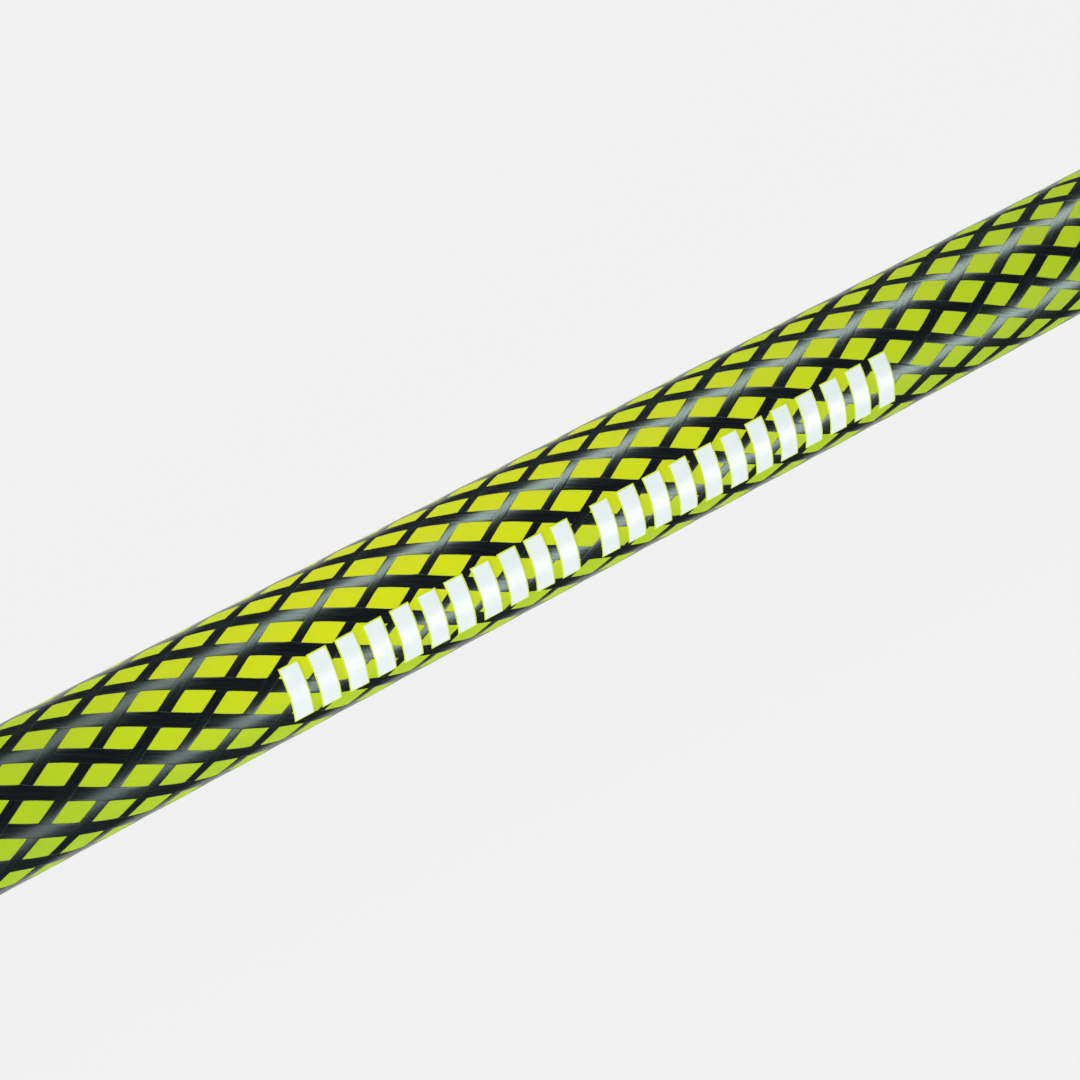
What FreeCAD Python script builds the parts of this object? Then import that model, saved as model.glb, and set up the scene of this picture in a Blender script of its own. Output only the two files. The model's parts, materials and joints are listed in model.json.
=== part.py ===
"""Field hockey stick: a straight round handle and shaft, a bowed lower shaft that broadens into a
D section, and a hooked head with a flat playing face on its left-hand side.

Handle frame, used for modelling: +X runs along the straight shaft from the butt to the head, +Y
points to the toe and +Z away from the playing face. The finished pieces are then laid down as the
stick rests on a floor, playing face down, touching at its butt and at the base of its head.
"""
import FreeCAD, Part
import math
import os

import Sketcher
from FreeCAD import Placement, Rotation, Vector

PARTS = "parts"

# Driving dimensions in millimetres and degrees. Stations are measured along the shaft from the butt.
DIMENSIONS = {
    # shaft
    "shaft_diameter": 28.0,
    "bow_start": 575.0,
    "bow_length": 260.0,
    "bow_angle": 8.5,
    "neck_width": 45.0,
    "neck_thickness": 21.5,
    "back_radius": 17.0,
    "face_radius": 4.0,
    "shaft_corner": 13.99,
    # head, in plan
    "head_length": 92.0,
    "head_width": 119.8,
    "back_edge": 39.2,
    "heel_radius": 50.0,
    "base_radius": 80.0,
    "toe_radius": 46.0,
    "toe_flat": 12.5,
    "toe_angle": 165.0,
    "tip_radius": 19.5,
    "hook_radius": 18.55,
    # layers, from the outside in
    "braid_wall": 0.35,
    "laminate_wall": 2.2,
    "liner_wall": 0.8,
    # pieces inside
    "spigot_length": 18.0,
    "foam_end": 62.0,
    "tube_end": 806.0,
    # pieces over the handle
    "cap_radius": 15.8,
    "cap_thickness": 4.5,
    "cap_round": 1.8,
    "grip_radius": 16.0,
    "grip_end": 284.0,
    "underlay_wall": 0.25,
    "tape_start": 270.0,
    "tape_end": 300.0,
    "tape_wall": 0.2,
    "tape_squeeze": 0.6,
    "collar_end": 296.0,
    "collar_radius": 17.2,
    "collar_round": 1.2,
    # how the stick lies on the floor, found from the finished shapes
    "lie_pitch": 0.0,
    "lie_roll": 0.0,
    "lie_x": 0.0,
    "lie_y": 0.0,
    "lie_z": 0.0,
}
LOFT_SHARES = (0.0, 0.08, 0.22, 0.38, 0.54, 0.70, 0.85, 0.95, 1.0)  # of the bow's length
FAR = 1000.0  # past the end of anything
OUTSIDE = ("braid_ply", "butt_cap", "grip_wrap", "finishing_tape", "grip_collar")
# Densities in grams per cubic millimetre, for the point about which the stick balances.
DENSITIES = {
    "braid_ply": 1.5e-3,
    "laminate_shell": 1.5e-3,
    "aramid_liner": 1.2e-3,
    "head_core": 0.25e-3,
    "inner_tube_toe_side": 1.4e-3,
    "inner_tube_heel_side": 1.4e-3,
    "butt_cap": 1.15e-3,
    "handle_foam": 0.1e-3,
    "grip_underlay": 1.0e-3,
    "grip_wrap": 0.55e-3,
    "finishing_tape": 1.2e-3,
    "grip_collar": 1.1e-3,
}


# ---- document and spreadsheet ------------------------------------------------------------------

doc = FreeCAD.newDocument("field_hockey_stick")
sheet = doc.addObject("Spreadsheet::Sheet", "dims")


def fill_sheet():
    for row, (name, value) in enumerate(DIMENSIONS.items(), start=1):
        sheet.set(f"A{row}", name)
        sheet.set(f"B{row}", str(value))
        sheet.setAlias(f"B{row}", name)
    doc.recompute()


def dim(name):
    return float(sheet.get(name))


def set_dim(name, value):
    row = list(DIMENSIONS).index(name) + 1
    sheet.set(f"B{row}", f"{value:.6f}")


class Size:
    """A size that is both a number and the spreadsheet expression that gives that number."""

    def __init__(self, text, value):
        self.text = text
        self.value = value

    def _join(self, sign, other, value):
        if not isinstance(other, Size):
            other = Size(repr(float(other)), float(other))
        return Size(f"({self.text} {sign} {other.text})", value(self.value, other.value))

    def __add__(self, other):
        return self._join("+", other, lambda a, b: a + b)

    def __sub__(self, other):
        return self._join("-", other, lambda a, b: a - b)

    def __mul__(self, other):
        return self._join("*", other, lambda a, b: a * b)

    def __truediv__(self, other):
        return self._join("/", other, lambda a, b: a / b)

    def __neg__(self):
        return Size(f"(-1 * {self.text})", -self.value)


NOTHING = Size("0", 0.0)


def cell(name):
    return Size(f"dims.{name}", dim(name))


def sine(angle):
    return Size(f"sin({angle.text})", math.sin(math.radians(angle.value)))


def one_less_cosine(angle):
    return Size(f"(1 - cos({angle.text}))", 1 - math.cos(math.radians(angle.value)))


# ---- sketches ----------------------------------------------------------------------------------


def role_plane(body, role):
    return next(f for f in body.Origin.OriginFeatures if f.Role == role)


def new_sketch(body, name, plane="YZ_Plane"):
    sketch = body.newObject("Sketcher::SketchObject", name)
    sketch.AttachmentSupport = [(role_plane(body, plane), "")]
    sketch.MapMode = "FlatFace"
    return sketch


def fix_size(sketch, kind, refs, wanted):
    """A dimension of the sketch, bound to the spreadsheet."""
    index = sketch.addConstraint(Sketcher.Constraint(kind, *refs, wanted.value))
    sketch.setExpression(f"Constraints[{index}]", wanted.text)


def join_tangent(sketch, joints):
    for first, first_point, second, second_point in joints:
        sketch.addConstraint(
            Sketcher.Constraint("Tangent", first, first_point, second, second_point)
        )


def arc(centre, radius, start_deg, end_deg):
    circle = Part.Circle(Vector(centre[0], centre[1], 0), Vector(0, 0, 1), radius)
    return Part.ArcOfCircle(circle, math.radians(start_deg), math.radians(end_deg))


def line(a, b):
    return Part.LineSegment(Vector(a[0], a[1], 0), Vector(b[0], b[1], 0))


def blend(start, end, share):
    """A size that goes from start to end with the share of the bow's length, slowly at both ends."""
    mix = share * share * (3 - 2 * share)
    return start + (end - start) * round(mix, 6)


def bow_radius():
    return cell("bow_length") * math.degrees(1) / cell("bow_angle")


def section_sketch(body, name, share, inset):
    """The lower shaft's section at a share of the bow's length: two large corners on its back and two
    smaller ones on its playing face. At the start it is a circle."""
    width = blend(cell("shaft_diameter"), cell("neck_width"), share) - inset * 2
    full_thickness = blend(cell("shaft_diameter"), cell("neck_thickness"), share)
    thickness = full_thickness - inset * 2
    back = blend(cell("shaft_corner"), cell("back_radius"), share) - inset
    face = blend(cell("shaft_corner"), cell("face_radius"), share) - inset
    half, high, r_back, r_face = width.value / 2, thickness.value / 2, back.value, face.value

    sketch = new_sketch(body, name)
    sketch.addGeometry(
        [
            line((-half + r_face, -high), (half - r_face, -high)),
            arc((half - r_face, -high + r_face), r_face, -90, 0),
            line((half, -high + r_face), (half, high - r_back)),
            arc((half - r_back, high - r_back), r_back, 0, 90),
            line((half - r_back, high), (-half + r_back, high)),
            arc((-half + r_back, high - r_back), r_back, 90, 180),
            line((-half, high - r_back), (-half, -high + r_face)),
            arc((-half + r_face, -high + r_face), r_face, 180, 270),
        ],
        False,
    )
    join_tangent(sketch, [(i, 2, (i + 1) % 8, 1) for i in range(8)])
    for kind, element in (("Horizontal", 0), ("Vertical", 2), ("Horizontal", 4), ("Vertical", 6)):
        sketch.addConstraint(Sketcher.Constraint(kind, element))
    sketch.addConstraint(Sketcher.Constraint("Equal", 3, 5))
    fix_size(sketch, "Radius", (3,), back)
    fix_size(sketch, "Radius", (1,), face)
    fix_size(sketch, "Radius", (7,), face)
    fix_size(sketch, "DistanceX", (6, 1, 2, 1), width)
    fix_size(sketch, "DistanceX", (6, 1, -1, 1), width / 2)
    fix_size(sketch, "DistanceY", (0, 1, 4, 1), thickness)
    fix_size(sketch, "DistanceY", (0, 1, -1, 1), thickness / 2)

    turn = cell("bow_angle") * share
    sketch.AttachmentOffset = Placement(Vector(0, 0, 0), Rotation(Vector(1, 0, 0), 1.0))
    sketch.setExpression("AttachmentOffset.Rotation.Angle", turn.text)
    sketch.setExpression("AttachmentOffset.Base.y", (-(bow_radius() * one_less_cosine(turn))).text)
    along = cell("bow_start") + bow_radius() * sine(turn)
    sketch.setExpression("AttachmentOffset.Base.z", along.text)
    return sketch


def walk_outline(radii, half, toe_angle):
    """Corners, centres and headings of the head's outline, walked from the back of the neck round the
    heel, base and toe and along the inside of the hook back to the neck. The first arc ends where the
    base's circle reaches the stick's far end, and the second where the head comes out wide enough."""

    def sin(a):
        return math.sin(math.radians(a))

    def cos(a):
        return math.cos(math.radians(a))

    heel, base, toe, tip = (radii[name] for name in ("heel", "base", "toe", "tip"))
    straight, flat = dim("back_edge"), dim("toe_flat")
    heel_turn = math.degrees(math.asin((straight + dim("base_radius") - dim("head_length")) / (base - heel)))
    fixed = heel * (1 - cos(heel_turn)) + base * cos(heel_turn) - toe * cos(toe_angle)
    fixed += flat * sin(toe_angle) + tip * (1 + cos(toe_angle))
    width = dim("head_width") - dim("neck_width") + 2 * half
    base_turn = math.degrees(math.acos((fixed - width) / (base - toe)))

    points = [(0.0, -half), (straight, -half)]
    centres = {}

    def step(name, start, end):
        x, y = points[-1]
        radius = radii[name]
        centre = (x - radius * sin(start), y + radius * cos(start))
        centres[name] = centre
        points.append((centre[0] + radius * sin(end), centre[1] - radius * cos(end)))

    step("heel", 0, heel_turn)
    step("base", heel_turn, base_turn)
    step("toe", base_turn, toe_angle)
    x, y = points[-1]
    points.append((x + flat * cos(toe_angle), y + flat * sin(toe_angle)))
    step("tip", toe_angle, toe_angle + 180)
    x, y = points[-1]
    centres["hook"] = (x - radii["hook"] * sin(toe_angle), half + radii["hook"])
    points.append((centres["hook"][0], half))
    points.append((0.0, half))
    return points, centres, (heel_turn, base_turn)


def head_outline(body, name, inset):
    """The head in plan, on the plane of its playing face."""
    sizes = {part: cell(part + "_radius") - inset for part in ("heel", "base", "toe", "tip")}
    sizes["hook"] = cell("hook_radius") + inset
    radii = {part: size.value for part, size in sizes.items()}
    neck = cell("neck_width") - inset * 2
    lean = dim("toe_angle")
    points, centres, (heel_turn, base_turn) = walk_outline(radii, neck.value / 2, lean)

    def outline_arc(part, start, end):
        return arc(centres[part], radii[part], start - 90, end - 90)

    sketch = new_sketch(body, name, "XY_Plane")
    sketch.addGeometry(
        [
            line(points[0], points[1]),
            outline_arc("heel", 0, heel_turn),
            outline_arc("base", heel_turn, base_turn),
            outline_arc("toe", base_turn, lean),
            line(points[4], points[5]),
            outline_arc("tip", lean, lean + 180),
            outline_arc("hook", 0, lean),
            line(points[7], points[8]),
            line(points[8], points[0]),
        ],
        False,
    )
    joints = [(0, 2, 1, 1), (1, 2, 2, 1), (2, 2, 3, 1), (3, 2, 4, 1), (4, 2, 5, 1), (5, 2, 6, 2), (6, 1, 7, 1)]
    join_tangent(sketch, joints)
    sketch.addConstraint(Sketcher.Constraint("Coincident", 7, 2, 8, 1))
    sketch.addConstraint(Sketcher.Constraint("Coincident", 8, 2, 0, 1))
    sketch.addConstraint(Sketcher.Constraint("Horizontal", 0))
    sketch.addConstraint(Sketcher.Constraint("Horizontal", 7))
    sketch.addConstraint(Sketcher.Constraint("PointOnObject", 0, 1, -2))
    sketch.addConstraint(Sketcher.Constraint("Symmetric", 8, 1, 8, 2, -1, 1))
    fix_size(sketch, "DistanceY", (8, 2, 8, 1), neck)
    fix_size(sketch, "DistanceX", (0, 1, 0, 2), cell("back_edge"))
    for element, part in ((1, "heel"), (2, "base"), (3, "toe"), (5, "tip"), (6, "hook")):
        fix_size(sketch, "Radius", (element,), sizes[part])
    fix_size(sketch, "DistanceX", (-1, 1, 2, 3), cell("head_length") - cell("base_radius"))
    fix_size(sketch, "Distance", (4,), cell("toe_flat"))
    tip_height = cell("head_width") - cell("neck_width") / 2 - cell("tip_radius")
    fix_size(sketch, "DistanceY", (-1, 1, 5, 3), tip_height)
    toe_lean = sketch.addConstraint(Sketcher.Constraint("Angle", 4, math.radians(lean)))
    sketch.setExpression(f"Constraints[{toe_lean}]", "dims.toe_angle")

    drop = cell("neck_thickness") / 2 - inset
    turn = cell("bow_angle")
    along = cell("bow_start") + bow_radius() * sine(turn) - drop * sine(turn)
    down = -(bow_radius() * one_less_cosine(turn)) - drop * (-one_less_cosine(turn) + 1)
    sketch.AttachmentOffset = Placement(Vector(0, 0, 0), Rotation(Vector(0, 1, 0), 1.0))
    sketch.setExpression("AttachmentOffset.Rotation.Angle", turn.text)
    sketch.setExpression("AttachmentOffset.Base.x", along.text)
    sketch.setExpression("AttachmentOffset.Base.z", down.text)
    return sketch


# ---- the stick's outer form and the same form inset by its layers --------------------------------


def shaft_form(name, inset):
    """The straight shaft and the bowed lower shaft, solid, with an inset all round."""
    body = doc.addObject("PartDesign::Body", name)
    circle = new_sketch(body, name + "_round")
    circle.addGeometry(Part.Circle(Vector(0, 0, 0), Vector(0, 0, 1), 10.0), False)
    circle.addConstraint(Sketcher.Constraint("Coincident", 0, 3, -1, 1))
    fix_size(circle, "Radius", (0,), cell("shaft_diameter") / 2 - inset)
    pad = body.newObject("PartDesign::Pad", name + "_straight")
    pad.Profile = circle
    pad.setExpression("Length", "dims.bow_start")
    sections = [
        section_sketch(body, f"{name}_section_{i}", share, inset)
        for i, share in enumerate(LOFT_SHARES)
    ]
    doc.recompute()
    loft = body.newObject("PartDesign::AdditiveLoft", name + "_bowed")
    loft.Profile = sections[0]
    loft.Sections = sections[1:]
    body.Tip = loft
    doc.recompute()
    return body


def rim_edges(shape, to_local, height, neck_margin=0.5):
    """Names of the edges that lie at one height over the playing face, apart from the neck's own."""
    names = []
    for i, edge in enumerate(shape.Edges, start=1):
        ends = [to_local.multVec(v.Point) for v in edge.Vertexes]
        middle = to_local.multVec(edge.valueAt((edge.FirstParameter + edge.LastParameter) / 2))
        if all(abs(p.z - height) < 1e-4 for p in ends) and middle.x > neck_margin:
            names.append(f"Edge{i}")
    return names


def head_form(name, inset):
    """The hooked head, solid, with an inset all round: a flat face and a rounded back."""
    body = doc.addObject("PartDesign::Body", name)
    outline = head_outline(body, name + "_outline", inset)
    pad = body.newObject("PartDesign::Pad", name + "_slab")
    pad.Profile = outline
    pad.setExpression("Length", (cell("neck_thickness") - inset * 2).text)
    body.Tip = pad
    doc.recompute()
    to_local = outline.AttachmentOffset.inverse()
    thickness = pad.Length.Value
    back = body.newObject("PartDesign::Fillet", name + "_back")
    back.Base = (pad, rim_edges(pad.Shape, to_local, thickness))
    back.setExpression("Radius", (cell("back_radius") - inset).text)
    body.Tip = back
    doc.recompute()
    face = body.newObject("PartDesign::Fillet", name + "_face")
    face.Base = (back, rim_edges(back.Shape, to_local, 0.0))
    face.setExpression("Radius", (cell("face_radius") - inset).text)
    body.Tip = face
    doc.recompute()
    return body


def stick_form(name, inset):
    shaft = shaft_form(name + "_shaft", inset)
    head = head_form(name + "_head", inset)
    whole = doc.addObject("Part::MultiFuse", name)
    whole.Shapes = [shaft, head]
    doc.recompute()
    return whole


def slab(name, start, end, low=-FAR, high=FAR):
    """A box across the stick between two stations, and between two distances across it."""
    start, end, low, high = (v if isinstance(v, Size) else Size(repr(v), v) for v in (start, end, low, high))
    box = doc.addObject("Part::Box", name)
    box.setExpression("Length", (end - start).text)
    box.setExpression("Width", (high - low).text)
    box.Height = 2 * FAR
    box.setExpression("Placement.Base.x", start.text)
    box.setExpression("Placement.Base.y", low.text)
    box.Placement.Base.z = -FAR
    return box


def cut(name, base, tool):
    made = doc.addObject("Part::Cut", name)
    made.Base, made.Tool = base, tool
    return made


def common(name, base, tool):
    made = doc.addObject("Part::Common", name)
    made.Base, made.Tool = base, tool
    return made


# ---- layers and inner pieces ---------------------------------------------------------------------


def build_layers():
    """The composite layers and what they hold: each is one form less the next form inside it."""
    under = cell("braid_wall")
    inside = under + cell("laminate_wall")
    outer = stick_form("outer_form", NOTHING)
    under_braid = stick_form("under_braid", under)
    cavity = stick_form("cavity", inside)
    core = stick_form("core", inside + cell("liner_wall"))

    braid = cut("braid_ply", outer, under_braid)
    laminate = cut("laminate_shell", under_braid, cavity)

    head_zone = slab("head_zone", cell("tube_end"), FAR)
    liner = common("aramid_liner", cut("liner_layer", cavity, core), head_zone)
    head_core = common("head_core", core, head_zone)

    wall = cell("liner_wall")
    tubes = []
    for side, low, high, bore_low, bore_high in (
        ("toe", 0.0, FAR, wall, FAR),
        ("heel", -FAR, 0.0, -FAR, -wall),
    ):
        half_zone = slab(f"{side}_zone", cell("foam_end"), cell("tube_end"), low, high)
        bore_zone = slab(f"{side}_bore", cell("foam_end") - 1, cell("tube_end") + 1, bore_low, bore_high)
        half = common(f"{side}_half", cavity, half_zone)
        bore = common(f"{side}_hollow", core, bore_zone)
        tubes.append(cut(f"inner_tube_{side}_side", half, bore))
    doc.recompute()
    return [braid, laminate, liner, head_core, *tubes]


def ring_body(name, profile):
    """A piece of revolution about the shaft's axis. The profile lists its section's corners in order,
    each a distance along the axis and a radius."""
    body = doc.addObject("PartDesign::Body", name)
    sketch = new_sketch(body, name + "_profile", "XZ_Plane")
    corners = [(x.value, r.value) for x, r in profile]
    count = len(corners)
    sketch.addGeometry([line(corners[i], corners[(i + 1) % count]) for i in range(count)], False)
    for i, (x, r) in enumerate(profile):
        sketch.addConstraint(Sketcher.Constraint("Coincident", i, 2, (i + 1) % count, 1))
        place_corner(sketch, i, x, r)
    turned = body.newObject("PartDesign::Revolution", name + "_turned")
    turned.Profile = sketch
    turned.ReferenceAxis = (role_plane(body, "X_Axis"), [""])
    turned.Angle = 360
    body.Tip = turned
    doc.recompute()
    return body


def place_corner(sketch, index, x, r):
    """Fixes one corner of a turned profile; a corner on one of the axes is held there."""
    if x.value == 0:
        sketch.addConstraint(Sketcher.Constraint("PointOnObject", index, 1, -2))
    elif x.value > 0:
        fix_size(sketch, "DistanceX", (-1, 1, index, 1), x)
    else:
        fix_size(sketch, "DistanceX", (index, 1, -1, 1), -x)
    if r.value == 0:
        sketch.addConstraint(Sketcher.Constraint("PointOnObject", index, 1, -1))
    else:
        fix_size(sketch, "DistanceY", (-1, 1, index, 1), r)


def round_edges(body, name, radius, wanted):
    """Fillets the circular edges of a body for which wanted(distance along the axis, radius) holds."""
    base = body.Tip
    names = []
    for i, edge in enumerate(base.Shape.Edges, start=1):
        if isinstance(edge.Curve, Part.Circle) and wanted(edge.Curve.Center.x, edge.Curve.Radius):
            names.append(f"Edge{i}")
    fillet = body.newObject("PartDesign::Fillet", name)
    fillet.Base = (base, names)
    fillet.setExpression("Radius", radius.text)
    body.Tip = fillet
    doc.recompute()


def near(a, b):
    return abs(a - b) < 1e-6


# ---- pieces in and over the handle -----------------------------------------------------------------


def shaft_radius():
    return cell("shaft_diameter") / 2


def shaft_bore():
    return shaft_radius() - cell("braid_wall") - cell("laminate_wall")


def build_butt_cap():
    """A moulded cap: a rounded disc over the end of the grip, and a spigot glued into the shaft."""
    outer_end, cap_radius = -cell("cap_thickness"), cell("cap_radius")
    body = ring_body(
        "butt_cap",
        [
            (outer_end, NOTHING),
            (outer_end, cap_radius),
            (NOTHING, cap_radius),
            (NOTHING, shaft_bore()),
            (cell("spigot_length"), shaft_bore()),
            (cell("spigot_length"), NOTHING),
        ],
    )

    def is_outer_rim(x, r):
        return near(x, outer_end.value) and near(r, cap_radius.value)

    round_edges(body, "cap_edge", cell("cap_round"), is_outer_rim)
    return body


def build_handle_foam():
    """A rigid foam plug that closes the shaft between the cap's spigot and the inner tubes."""
    start, end = cell("spigot_length"), cell("foam_end")
    corners = [(start, NOTHING), (start, shaft_bore()), (end, shaft_bore()), (end, NOTHING)]
    return ring_body("handle_foam", corners)


def sleeve(name, start, end, inner, outer):
    return ring_body(name, [(start, inner), (start, outer), (end, outer), (end, inner)])


def build_grip():
    """The double-sided tape on the shaft and the cushioned wrap that it holds. The finishing tape
    squeezes the last of the wrap a little."""
    over_underlay = shaft_radius() + cell("underlay_wall")
    start, tape_start, end = NOTHING, cell("tape_start"), cell("grip_end")
    squeezed = cell("grip_radius") - cell("tape_squeeze")
    underlay = sleeve("grip_underlay", start, end, shaft_radius(), over_underlay)
    wrap = ring_body(
        "grip_wrap",
        [
            (start, over_underlay),
            (start, cell("grip_radius")),
            (tape_start, cell("grip_radius")),
            (tape_start, squeezed),
            (end, squeezed),
            (end, over_underlay),
        ],
    )
    return [underlay, wrap]


def build_finishing_tape():
    """Elastic tape wound over the end of the grip and down on to the shaft."""
    wall, step = cell("tape_wall"), cell("grip_end")
    squeezed = cell("grip_radius") - cell("tape_squeeze")
    return ring_body(
        "finishing_tape",
        [
            (cell("tape_start"), squeezed),
            (cell("tape_start"), squeezed + wall),
            (step + wall, squeezed + wall),
            (step + wall, shaft_radius() + wall),
            (cell("tape_end"), shaft_radius() + wall),
            (cell("tape_end"), shaft_radius()),
            (step, shaft_radius()),
            (step, squeezed),
        ],
    )


def build_collar():
    """A rubber ring pushed up the shaft against the step in the finishing tape."""
    wall, outside = cell("tape_wall"), cell("collar_radius")
    start = cell("grip_end") + wall
    body = sleeve("grip_collar", start, cell("collar_end"), shaft_radius() + wall, outside)
    round_edges(body, "collar_edges", cell("collar_round"), lambda x, r: near(r, outside.value))
    return body


# ---- laying the stick on the floor -----------------------------------------------------------------


def mesh_points(shapes):
    points = []
    for shape in shapes:
        found, _ = shape.tessellate(0.1)
        points += found
    return points


def balance_point(pieces):
    mass = 0.0
    moment = Vector(0, 0, 0)
    for piece in pieces:
        share = DENSITIES[piece.Label] * piece.Shape.Volume
        mass += share
        moment += piece.Shape.CenterOfGravity * share
    return moment / mass


def lie_rotation(pitch, roll):
    return Rotation(Vector(0, 1, 0), pitch) * Rotation(Vector(1, 0, 0), roll)


def up_direction(pitch, roll):
    """The floor's upward direction as the handle frame sees it."""
    return lie_rotation(pitch, roll).inverted().multVec(Vector(0, 0, 1))


def lowest(function, low, high):
    """Where a function with a single dip is lowest between two values, to a hundredth."""
    share = (math.sqrt(5) - 1) / 2
    left, right = high - share * (high - low), low + share * (high - low)
    at_left, at_right = function(left), function(right)
    while high - low > 0.01:
        if at_left < at_right:
            high, right, at_right = right, left, at_left
            left = high - share * (high - low)
            at_left = function(left)
        else:
            low, left, at_left = left, right, at_right
            right = low + share * (high - low)
            at_right = function(right)
    return (low + high) / 2


def lie_down(pieces):
    """Finds the pitch and the roll at which the balance point is lowest over the floor, which is how
    the stick lies at rest, and the move that puts the origin on the floor under the middle of it."""
    points = mesh_points([piece.Shape for piece in pieces if piece.Label in OUTSIDE])
    balance = balance_point(pieces)

    ends = [p for p in points if p.x < dim("foam_end") or p.x > dim("tube_end")]

    def height(pitch, roll):
        up = up_direction(pitch, roll)
        return up.dot(balance) - min(up.dot(p) for p in ends)

    def best_pitch(roll):
        return lowest(lambda pitch: height(pitch, roll), -6.0, 2.0)

    roll = lowest(lambda angle: height(best_pitch(angle), angle), -12.0, 12.0)
    pitch = best_pitch(roll)
    turn = lie_rotation(pitch, roll)
    turned = [turn.multVec(p) for p in points]
    set_dim("lie_pitch", pitch)
    set_dim("lie_roll", roll)
    set_dim("lie_x", -(min(p.x for p in turned) + max(p.x for p in turned)) / 2)
    set_dim("lie_y", -(min(p.y for p in turned) + max(p.y for p in turned)) / 2)
    set_dim("lie_z", -min(p.z for p in turned))
    doc.recompute()


def place(piece):
    """Gives one piece the placement that all share."""
    move = Vector(dim("lie_x"), dim("lie_y"), dim("lie_z"))
    piece.Placement = Placement(move, lie_rotation(dim("lie_pitch"), dim("lie_roll")))


# ---- checks and export ------------------------------------------------------------------------------


def check(pieces):
    failed = [o.Label for o in doc.Objects if {"Invalid", "Error"} & set(o.State)]
    failed += [p.Label for p in pieces if p.Shape.isNull() or not p.Shape.isValid() or not p.Shape.Solids]
    if failed:
        raise RuntimeError(f"these objects did not build: {sorted(set(failed))}")


def export(pieces):
    os.makedirs(PARTS, exist_ok=True)
    for old in os.listdir(PARTS):
        if old.endswith(".step"):
            os.remove(os.path.join(PARTS, old))
    for piece in pieces:
        piece.Shape.exportStep(os.path.join(PARTS, piece.Label + ".step"))


def main():
    fill_sheet()
    pieces = build_layers()
    pieces += [build_butt_cap(), build_handle_foam(), *build_grip(), build_finishing_tape()]
    pieces.append(build_collar())
    doc.recompute()
    check(pieces)
    lie_down(pieces)
    for piece in pieces:
        place(piece)
    doc.recompute()
    check(pieces)
    export(pieces)
    for piece in pieces:
        box = piece.Shape.BoundBox
        print(
            f"{piece.Label:24s} {len(piece.Shape.Solids)} solids, {piece.Shape.Volume / 1000:8.2f} cm3, "
            f"x {box.XMin:7.1f} {box.XMax:7.1f}  y {box.YMin:6.1f} {box.YMax:6.1f}  z {box.ZMin:6.2f} {box.ZMax:6.2f}"
        )
    print({name: round(dim(name), 5) for name in DIMENSIONS if name.startswith("lie_")})
    print("mass in grams", round(sum(DENSITIES[p.Label] * p.Shape.Volume for p in pieces), 1))


main()
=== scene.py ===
"""A field hockey stick lying on its playing face: the visual model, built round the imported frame.

The shaft and head are one skin with a lime ground, over which 22 flat black tows are braided. The skin
is described by two numbers. The station u runs in millimetres along the middle of the stick from the
butt, round the hook, to the toe. The turn v runs once round the section, from 0 at the middle of the
back towards the heel side, 0.5 at the middle of the playing face, and on to 1.

Handle frame: x along the straight shaft, from 0 where the butt cap meets the grip, y towards the toe, z
away from the playing face. Lengths are in millimetres until to_row turns them into metres in the
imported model's frame.
"""
import json
import math
from functools import cached_property

import bpy
import numpy as np
from mathutils import Matrix, Vector


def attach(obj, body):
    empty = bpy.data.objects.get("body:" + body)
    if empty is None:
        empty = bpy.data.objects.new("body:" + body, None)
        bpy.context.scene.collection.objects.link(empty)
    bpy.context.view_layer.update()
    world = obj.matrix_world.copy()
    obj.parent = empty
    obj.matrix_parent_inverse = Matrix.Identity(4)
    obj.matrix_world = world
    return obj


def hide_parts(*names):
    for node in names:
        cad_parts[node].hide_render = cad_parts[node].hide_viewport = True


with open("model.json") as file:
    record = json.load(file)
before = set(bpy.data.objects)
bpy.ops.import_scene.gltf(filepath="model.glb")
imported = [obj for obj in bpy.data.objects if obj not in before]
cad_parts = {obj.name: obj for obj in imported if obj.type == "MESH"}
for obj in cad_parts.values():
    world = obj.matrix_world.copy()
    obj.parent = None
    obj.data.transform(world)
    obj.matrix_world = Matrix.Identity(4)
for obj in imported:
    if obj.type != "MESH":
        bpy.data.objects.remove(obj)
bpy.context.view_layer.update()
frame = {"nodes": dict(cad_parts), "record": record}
MOUNTS = {mount["name"]: mount for mount in frame["record"]["mounts"]}

# ---- sizes, in millimetres and radians ----

SHAFT_RADIUS = 14.0
BOW_START = 575.0
BOW_LENGTH = 260.0
BOW_ANGLE = math.radians(8.5)
BOW_RADIUS = BOW_LENGTH / BOW_ANGLE
NECK = BOW_START + BOW_LENGTH
NECK_WIDTH = 45.0
NECK_THICKNESS = 21.5
BACK_RADIUS = 17.0
FACE_RADIUS = 4.0

# The head's outline in plan: x from the neck, y towards the toe. Headings are measured from x.
BACK_EDGE = 39.2
HEEL_RADIUS = 50.0
BASE_RADIUS = 80.0
TOE_RADIUS = 46.0
TIP_RADIUS = 19.5
HOOK_RADIUS = 18.55
BASE_SETBACK = 27.2  # how far the centre of the base's arc lies behind the centre of the heel's
HEEL_TURN = math.asin(BASE_SETBACK / (BASE_RADIUS - HEEL_RADIUS))
BASE_TURN = math.radians(105.0217)
TOE_TURN = math.radians(165.0)
TOE_FLAT = 12.5

CAP_THICKNESS = 4.5
CAP_RADIUS = 15.8
GRIP_RADIUS = 16.0
GRIP_END = 284.0
TAPE_START = 270.0
TAPE_END = 300.0
COLLAR_END = 296.0
COLLAR_RADIUS = 17.2

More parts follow.
